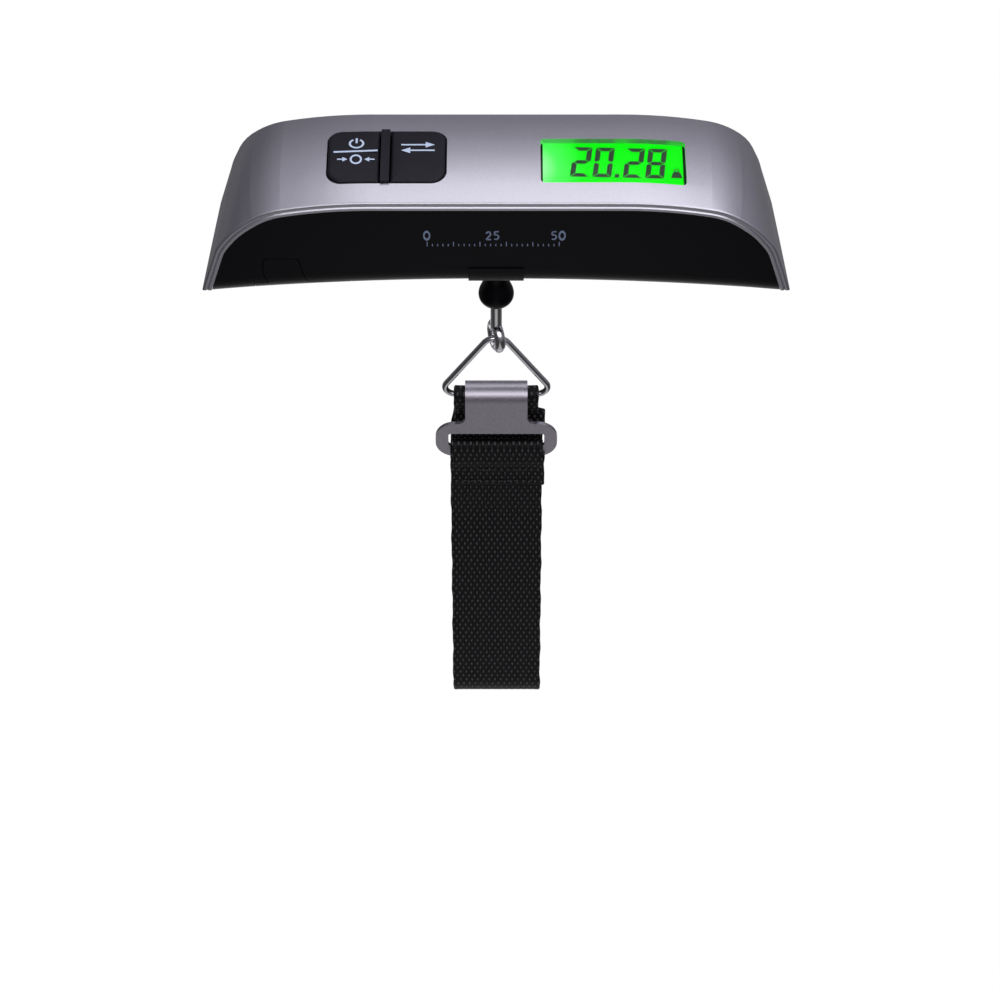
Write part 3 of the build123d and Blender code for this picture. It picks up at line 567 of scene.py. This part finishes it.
def key_marks():
    """Generic marks: a stand-by symbol over a bar over a zero, and a pair of exchange arrows."""

    def top(x, y):
        return crown_z(y, KEY_PROUD)

    power = arc_band(-36.5, 2.75, 1.75, 0.55, 120, 420, 26, squash=1.0)
    power += bar_outline(-36.5, 2.9, -36.5, 5.0, 0.55, 3)
    power += bar_outline(-42.4, -0.75, -30.9, -0.1, 0.62, 8)
    power += arc_band(-36.5, -3.6, 1.35, 0.5, 0, 360, 28, squash=1.15)
    for side in (-1, 1):
        power += bar_outline(-36.5 + side * 4.9, -3.6, -36.5 + side * 2.6, -3.6, 0.45, 2)
        tip = -36.5 + side * 2.2
        power.append([(tip, -3.6), (tip + side * 1.3, -2.75), (tip + side * 1.3, -4.45)][::side])
    flat_mark("power_mark", power, top, MARKS, "power_button", "key_rubber")
    unit = []
    for side in (-1, 1):
        y = 1.1 + side * 1.15
        unit += bar_outline(-20.4 - side * 4.4, y, -20.4 + side * 2.2, y, 0.55, 5)
        tip = -20.4 + side * 4.4
        unit.append([(tip, y), (tip - side * 2.4, y + side * 1.15), (tip - side * 2.4, y - side * 1.15)])
    flat_mark("unit_mark", unit, top, MARKS, "unit_button", "key_rubber")


build_keys()
key_marks()


# ------------------------------------------------------------------ display figures
SEGMENTS = {"0": "abcdef", "2": "abged", "8": "abcdefg"}


def segment_bars(letter, wide, tall, thick):
    """Corner-cut bar of one display segment inside a cell of the given size."""
    g = 0.14
    t = thick
    h = tall / 2
    shapes = {
        "a": [(g, tall), (wide - g, tall), (wide - t - g, tall - t), (t + g, tall - t)],
        "d": [(g, 0), (t + g, t), (wide - t - g, t), (wide - g, 0)],
        "g": [(t * 0.35 + g, h), (t + g, h + t / 2), (wide - t - g, h + t / 2), (wide - t * 0.35 - g, h),
              (wide - t - g, h - t / 2), (t + g, h - t / 2)],
        "f": [(0, tall - g), (t, tall - t - g), (t, h + t / 2 + g), (t * 0.35, h + g), (0, h + t * 0.4 + g)],
        "e": [(0, g), (0, h - t * 0.4 - g), (t * 0.35, h - g), (t, h - t / 2 - g), (t, t + g)],
        "b": [(wide, tall - g), (wide, h + t * 0.4 + g), (wide - t * 0.35, h + g),
              (wide - t, h + t / 2 + g), (wide - t, tall - t - g)],
        "c": [(wide, g), (wide - t, t + g), (wide - t, h - t / 2 - g), (wide - t * 0.35, h - g),
              (wide, h - t * 0.4 - g)],
    }
    return shapes[letter]


def glass_z(x, y):
    return VIEW["glass_top"] + VIEW["fall"] * (x - VIEW["x"]) + VIEW["rise"] * (y - VIEW["y"])


def display_figures():
    """Slanted seven segment reading with its unit, printed on top of the display glass."""
    wide, tall, thick, lean = 4.9, 11.4, 1.35, 0.11
    base_y = -6.7
    outlines = []
    for digit, x in (("2", 19.2), ("0", 25.05), ("2", 33.0), ("8", 38.8)):
        for letter in SEGMENTS[digit]:
            bar = segment_bars(letter, wide, tall, thick)
            outlines.append([(x + px + lean * py, base_y + py) for px, py in bar])
    dot = 31.45
    dot_top = base_y + 1.3
    outlines.append([(dot - 0.6, base_y), (dot + 0.6, base_y), (dot + 0.72, dot_top), (dot - 0.48, dot_top)])
    flat_mark("display_digits", outlines, glass_z, INK, "grip", "lcd_green", lift=0.03)
    foot = base_y + 0.3
    weight = [(45.6, foot), (48.6, foot), (48.0, foot + 2.2), (46.2, foot + 2.2)]
    pictogram = [weight] + arc_band(47.1, foot + 2.8, 0.55, 0.3, 0, 360, 16)
    flat_mark("display_weight_sign", pictogram, glass_z, INK, "grip", "lcd_green", lift=0.03)


display_figures()


# ------------------------------------------------------------------ capacity scale on the front face
DIGIT_STROKES = {
    "0": [("arc", 0.5, 0.5, 0, 360)],
    "1": [("line", 0.28, 0.78, 0.55, 1.0), ("line", 0.55, 1.0, 0.55, 0.0)],
    "2": [("line", 0.05, 0.0, 0.95, 0.0), ("line", 0.05, 0.0, 0.9, 0.62), ("line", 0.9, 0.62, 0.72, 0.97),
          ("line", 0.72, 0.97, 0.3, 0.97), ("line", 0.3, 0.97, 0.08, 0.75)],
    "5": [("line", 0.9, 1.0, 0.2, 1.0), ("line", 0.2, 1.0, 0.14, 0.56), ("line", 0.14, 0.56, 0.6, 0.62),
          ("line", 0.6, 0.62, 0.92, 0.35), ("line", 0.92, 0.35, 0.62, 0.02), ("line", 0.62, 0.02, 0.1, 0.06)],
}


def front_number(text, x, z, tall, thick):
    """Strokes of a plain number standing on the front face, as quads in (x, z)."""
    quads = []
    wide = tall * 0.55
    for index, figure in enumerate(text):
        left = x + index * (wide + tall * 0.22)
        for stroke in DIGIT_STROKES[figure]:
            if stroke[0] == "arc":
                centre = (left + wide / 2, z + tall / 2)
                quads += arc_band(*centre, wide / 2, thick, 0, 360, 24, squash=tall / wide)
            else:
                _, x0, z0, x1, z1 = stroke
                start = (left + x0 * wide, z + z0 * tall)
                quads += bar_outline(*start, left + x1 * wide, z + z1 * tall, thick)
    return quads


def capacity_scale():
    """Generic range scale: ticks with plain numbers at its start, middle and end."""
    quads = []
    for i in range(26):
        x = -18.0 + i * 1.38
        tall = 1.5 if i % 5 == 0 else 0.8
        quads += bar_outline(x, 14.6, x, 14.6 + tall, 0.24)
    for text, x in (("0", -18.8), ("25", -2.7), ("50", 14.4)):
        quads += front_number(text, x, 16.9, 2.7, 0.42)
    points, faces = [], []
    for quad in quads:
        base = len(points)
        points += [(x, -17.53, z) for x, z in quad]
        points += [(x, -17.45, z) for x, z in quad]
        faces.append(tuple(base + i for i in range(4)))
        for i in range(4):
            j = (i + 1) % 4
            faces.append((base + i, base + 4 + i, base + 4 + j, base + j))
    obj = mesh_object("capacity_scale", points, faces, FAINT, smooth=False)
    finish_piece(obj, "grip", "case_black")


capacity_scale()


# ------------------------------------------------------------------ webbing
def rounded_path(corners, radii, step=0.8):
    """Points along straight runs joined by arcs, in the (y, z) plane."""
    points = [Vector(corners[0])]
    for i in range(1, len(corners) - 1):
        a, b, c = (Vector(corners[k]) for k in (i - 1, i, i + 1))
        back, ahead = (a - b).normalized(), (c - b).normalized()
        angle = back.angle(ahead)
        radius = radii[i - 1]
        cut = radius / math.tan(angle / 2)
        start, end = b + back * cut, b + ahead * cut
        centre = b + (back + ahead).normalized() * (radius / math.sin(angle / 2))
        u, v = start - centre, end - centre
        turn = u.angle_signed(v)
        steps = max(3, int(abs(turn) * radius / 0.35))
        points.append(start)
        for k in range(1, steps):
            t = -turn * k / steps
            points.append(centre + Vector((u.x * math.cos(t) - u.y * math.sin(t),
                                           u.x * math.sin(t) + u.y * math.cos(t))))
        points.append(end)
    points.append(Vector(corners[-1]))
    even = [points[0]]
    for a, b in zip(points, points[1:]):
        count = max(1, int((b - a).length / step))
        even += [a + (b - a) * (k / count) for k in range(1, count + 1)]
    return [p for i, p in enumerate(even) if i == 0 or (p - even[i - 1]).length > 1e-4]


def web_section(width, thick):
    """Closed section of webbing: flat faces, thicker rounded selvedges; (x, height, u)."""
    half = width / 2
    bead = thick / 2
    section = []
    steps = 22
    for i in range(steps + 1):
        x = -half + bead * 0.8 + (width - bead * 1.6) * i / steps
        edge = min(1.0, (half - abs(x)) / 2.4)
        section.append((x, thick / 2 * (0.86 + 0.14 * (1 - edge) ** 2)))
    right = [(half - bead * 0.8 + bead * 0.8 * math.sin(a), bead * math.cos(a))
             for a in (0.45, 0.95, 1.57, 2.19, 2.69)]
    section += right
    lower = [(x, -z) for x, z in reversed(section[:steps + 1])]
    section += lower
    section += [(-x, -z) for x, z in right]
    return section


def web_strip(name, path, width_at, v_start, cap_tail=True):
    """Webbing swept along a (y, z) path; width_at gives the width at a share of the path."""
    points, faces, uvs = [], [], []
    run = v_start
    total = len(path)
    count = None
    for i, p in enumerate(path):
        if i:
            run += (p - path[i - 1]).length
        ahead = (path[min(i + 1, total - 1)] - path[max(i - 1, 0)]).normalized()
        normal = Vector((-ahead.y, ahead.x))
        width, thick, off = width_at(i / (total - 1), run)
        sway = 0.10 * math.sin(run * 0.37) + 0.06 * math.sin(run * 0.91 + 1.0)
        section = web_section(width, thick)
        count = len(section)
        for x, h in section:
            rim = 0.05 * math.sin(run * 3.9 + (2.0 if x > 0 else 0.0)) if abs(x) > width / 2 - 0.9 else 0.0
            points.append((x + off + sway + math.copysign(rim, x), p.x + normal.x * h, p.y + normal.y * h))
            uvs.append((x + 60.0, run))
    for i in range(total - 1):
        for j in range(count):
            k = (j + 1) % count
            faces.append((i * count + j, i * count + k, (i + 1) * count + k, (i + 1) * count + j))
    faces.append(tuple(reversed(range(count))))
    faces.append(tuple((total - 1) * count + j for j in range(count)))
    obj = mesh_object(name, points, faces, WEB, uvs=uvs)
    length = run - v_start
    return obj, length


def back_web():
    """Tail, wrap round the ring bar, back leg and the rear half of the loop."""
    low = LOOP_END_Z - LOOP_RADIUS
    rear = LOOP_END_Y + LOOP_RADIUS
    wrap = [Vector((WRAP_MID * math.cos(a), BAR_Z + WRAP_MID * math.sin(a)))
            for a in (math.radians(d) for d in range(190, -1, -10))]
    tail = rounded_path([(0.12, -69.0), (0.05, -62.5), (wrap[0].x + 0.1, wrap[0].y - 1.4)], [6.0])
    run = rounded_path([(WRAP_MID, BAR_Z - 0.5), (WRAP_MID, BAR_Z - 24), (rear, LOOP_END_Z), (rear, low),
                        (LOOP_END_Y, low)], [8.5, 8.5, 8.5])
    path = tail + wrap + run

    def width_at(share, length):
        if length < 7.5:
            return WEB_WIDE - 0.6, 1.35, 0.9
        if length < 26:
            return WRAP_WIDE + 1.0, 1.42, 0.0
        grow = min(1.0, (length - 26) / 8.0)
        return WRAP_WIDE + 1.0 + (WEB_WIDE - WRAP_WIDE - 1.0) * grow, WEB_THICK, 0.0

    return web_strip("strap_back", path, width_at, 0.0)


def front_web(v_start):
    """Front half of the loop, the front leg, the fold through the slot and its sewn tail."""
    low = LOOP_END_Z - LOOP_RADIUS
    front = LOOP_END_Y - LOOP_RADIUS
    top = SLOT_TOP + 0.05 + WEB_THICK / 2 + 0.1
    ply_back = FOLD_Y + 1.35
    ply_front = FOLD_Y - 1.35
    seam = FOLD_Y - WEB_THICK / 2 - 0.02
    path = rounded_path([(LOOP_END_Y, low), (front, low), (front, LOOP_END_Z), (FRONT_Y, SEWN_END - 12.3),
                         (FRONT_Y, -79.8), (ply_back, -76.9), (ply_back, top), (ply_front, top),
                         (ply_front, -76.9), (seam, -79.8), (seam - 0.03, SEWN_END)],
                        [8.5, 8.5, 8.5, 1.6, 1.6, 1.25, 1.25, 1.6, 1.6])

    def width_at(share, length):
        tail = 1.0 if share > 0.90 else 0.0
        return WEB_WIDE + 0.5 * tail, WEB_THICK, 0.35 * tail

    return web_strip("strap_front", path, width_at, v_start)


def stitches(name, rows, y, body, x_half=11.2, pitch=2.1):
    """Rows of short thread stitches pressed into the face of the webbing."""
    points, faces = [], []
    for z in rows:
        count = int(2 * x_half / pitch)
        for i in range(count + 1):
            cx = -x_half + i * pitch
            cz = z + 0.12 * math.sin(i * 2.7)
            base = len(points)
            rings = 7
            for r in range(rings):
                t = -1 + 2 * r / (rings - 1)
                size = 0.26 * math.sqrt(max(0.0, 1 - t * t)) + 0.03
                for k in range(8):
                    a = 2 * math.pi * k / 8
                    points.append((cx + t * 0.78, y + size * math.cos(a) * 0.75, cz + size * math.sin(a)))
            for r in range(rings - 1):
                for k in range(8):
                    m = (k + 1) % 8
                    row = base + r * 8
                    faces.append((row + k, row + m, row + 8 + m, row + 8 + k))
            faces.append(tuple(base + k for k in reversed(range(8))))
            faces.append(tuple(base + (rings - 1) * 8 + k for k in range(8)))
    obj = mesh_object(name, points, faces, THREAD)
    return finish_piece(obj, body, "webbing_black")


def build_strap():
    back, back_length = back_web()
    finish_piece(back, "strap", "webbing_black", "strap_loop")
    front, front_length = front_web(back_length)
    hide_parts("strap_front_end")
    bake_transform(front)
    stitches("front_stitches", (-80.6, -84.8), FOLD_Y - WEB_THICK - 0.02, "buckle")
    stitches("back_stitches", (-61.5, -65.5), WRAP_MID + WEB_THICK / 2 - 0.03, "strap", x_half=9.5)


build_strap()


# ------------------------------------------------------------------ lights and surroundings
def area_light(name, place, target, size, power, color=(1, 1, 1)):
    data = bpy.data.lights.new(name, "AREA")
    data.shape = "RECTANGLE"
    data.size, data.size_y = size
    data.energy = power
    data.color = color
    light = bpy.data.objects.new(name, data)
    bpy.context.scene.collection.objects.link(light)
    light.location = place
    aim = Vector(target) - Vector(place)
    light.rotation_euler = aim.to_track_quat("-Z", "Y").to_euler()


def white_for_camera(tree, plain_shader, white):
    """Mix a shader with plain white that only the camera sees."""
    path = tree.nodes.new("ShaderNodeLightPath")
    mix = tree.nodes.new("ShaderNodeMixShader")
    tree.links.new(path.outputs["Is Camera Ray"], mix.inputs["Fac"])
    tree.links.new(plain_shader, mix.inputs[1])
    tree.links.new(white, mix.inputs[2])
    return mix


def build_world():
    world = bpy.data.worlds.new("studio")
    bpy.context.scene.world = world
    world.use_nodes = True
    tree = world.node_tree
    sky = tree.nodes["Background"]
    place = tree.nodes.new("ShaderNodeTexCoord")
    split = tree.nodes.new("ShaderNodeSeparateXYZ")
    tree.links.new(place.outputs["Generated"], split.inputs["Vector"])
    ramp = tree.nodes.new("ShaderNodeValToRGB")
    low, high = ramp.color_ramp.elements
    low.position, low.color = 0.50, (0.10, 0.097, 0.115, 1)
    high.position, high.color = 1.0, (0.95, 0.96, 1.0, 1)
    for place_at, grey in ((0.64, 0.11), (0.80, 0.36), (0.92, 0.66)):
        step = ramp.color_ramp.elements.new(place_at)
        step.color = (grey, grey * 0.985, grey * 1.10, 1)
    half = tree.nodes.new("ShaderNodeMapRange")
    half.inputs["From Min"].default_value = -1.0
    tree.links.new(split.outputs["Z"], half.inputs["Value"])
    tree.links.new(half.outputs["Result"], ramp.inputs["Fac"])
    tree.links.new(ramp.outputs["Color"], sky.inputs["Color"])
    side = tree.nodes.new("ShaderNodeMapRange")
    side.inputs["From Min"].default_value = -0.5
    side.inputs["From Max"].default_value = 0.5
    side.inputs["To Min"].default_value = 0.50
    side.inputs["To Max"].default_value = 1.30
    tree.links.new(split.outputs["X"], side.inputs["Value"])
    tree.links.new(side.outputs["Result"], sky.inputs["Strength"])
    white = tree.nodes.new("ShaderNodeBackground")
    white.inputs["Color"].default_value = (1, 1, 1, 1)
    mix = white_for_camera(tree, sky.outputs["Background"], white.outputs["Background"])
    tree.links.new(mix.outputs["Shader"], tree.nodes["World Output"].inputs["Surface"])


def build_floor():
    z = -0.26
    mesh = bpy.data.meshes.new("floor")
    mesh.from_pydata([(-4, -4, z), (4, -4, z), (4, 4, z), (-4, 4, z)], [], [(0, 1, 2, 3)])
    floor = bpy.data.objects.new("floor", mesh)
    bpy.context.scene.collection.objects.link(floor)
    mat = bpy.data.materials.new("floor")
    mat.use_nodes = True
    tree = mat.node_tree
    shader = tree.nodes["Principled BSDF"]
    shader.inputs["Roughness"].default_value = 0.9
    glow = tree.nodes.new("ShaderNodeEmission")
    glow.inputs["Color"].default_value = (1, 1, 1, 1)
    glow.inputs["Strength"].default_value = 1.04
    path = tree.nodes.new("ShaderNodeLightPath")
    share = tree.nodes.new("ShaderNodeMath")
    share.operation = "MULTIPLY"
    share.inputs[1].default_value = 0.93
    tree.links.new(path.outputs["Is Camera Ray"], share.inputs[0])
    shader.inputs["Base Color"].default_value = (0.86, 0.86, 0.87, 1)
    studio = tree.nodes.new("ShaderNodeEmission")
    place = tree.nodes.new("ShaderNodeTexCoord")
    split = tree.nodes.new("ShaderNodeSeparateXYZ")
    tree.links.new(place.outputs["Object"], split.inputs["Vector"])
    tone = tree.nodes.new("ShaderNodeMapRange")
    tone.inputs["From Min"].default_value = -0.10
    tone.inputs["From Max"].default_value = 0.20
    tone.inputs["To Min"].default_value = 0.36
    tone.inputs["To Max"].default_value = 1.30
    tree.links.new(split.outputs["Y"], tone.inputs["Value"])
    aside = tree.nodes.new("ShaderNodeMath")
    aside.operation = "ABSOLUTE"
    tree.links.new(split.outputs["X"], aside.inputs[0])
    dim = tree.nodes.new("ShaderNodeMapRange")
    dim.inputs["From Min"].default_value = 0.07
    dim.inputs["From Max"].default_value = 0.16
    dim.inputs["To Min"].default_value = 1.0
    dim.inputs["To Max"].default_value = 0.10
    tree.links.new(aside.outputs["Value"], dim.inputs["Value"])
    level = tree.nodes.new("ShaderNodeMath")
    level.operation = "MULTIPLY"
    tree.links.new(tone.outputs["Result"], level.inputs[0])
    tree.links.new(dim.outputs["Result"], level.inputs[1])
    tree.links.new(level.outputs["Value"], studio.inputs["Strength"])
    lit = tree.nodes.new("ShaderNodeMixShader")
    tree.links.new(path.outputs["Is Camera Ray"], lit.inputs["Fac"])
    tree.links.new(studio.outputs["Emission"], lit.inputs[1])
    tree.links.new(shader.outputs["BSDF"], lit.inputs[2])
    mix = tree.nodes.new("ShaderNodeMixShader")
    tree.links.new(share.outputs["Value"], mix.inputs["Fac"])
    tree.links.new(lit.outputs["Shader"], mix.inputs[1])
    tree.links.new(glow.outputs["Emission"], mix.inputs[2])
    tree.links.new(mix.outputs["Shader"], tree.nodes["Material Output"].inputs["Surface"])
    mesh.materials.append(mat)


def build_lights():
    area_light("overhead", (0.30, 0.22, 1.0), (0.03, 0, 0.03), (1.3, 0.5), 2.3)
    area_light("front_key", (0.15, -0.75, 0.75), (0, 0, -0.02), (1.4, 0.5), 4.3)


build_world()
build_floor()
build_lights()

bpy.context.scene.view_settings.view_transform = "Standard"
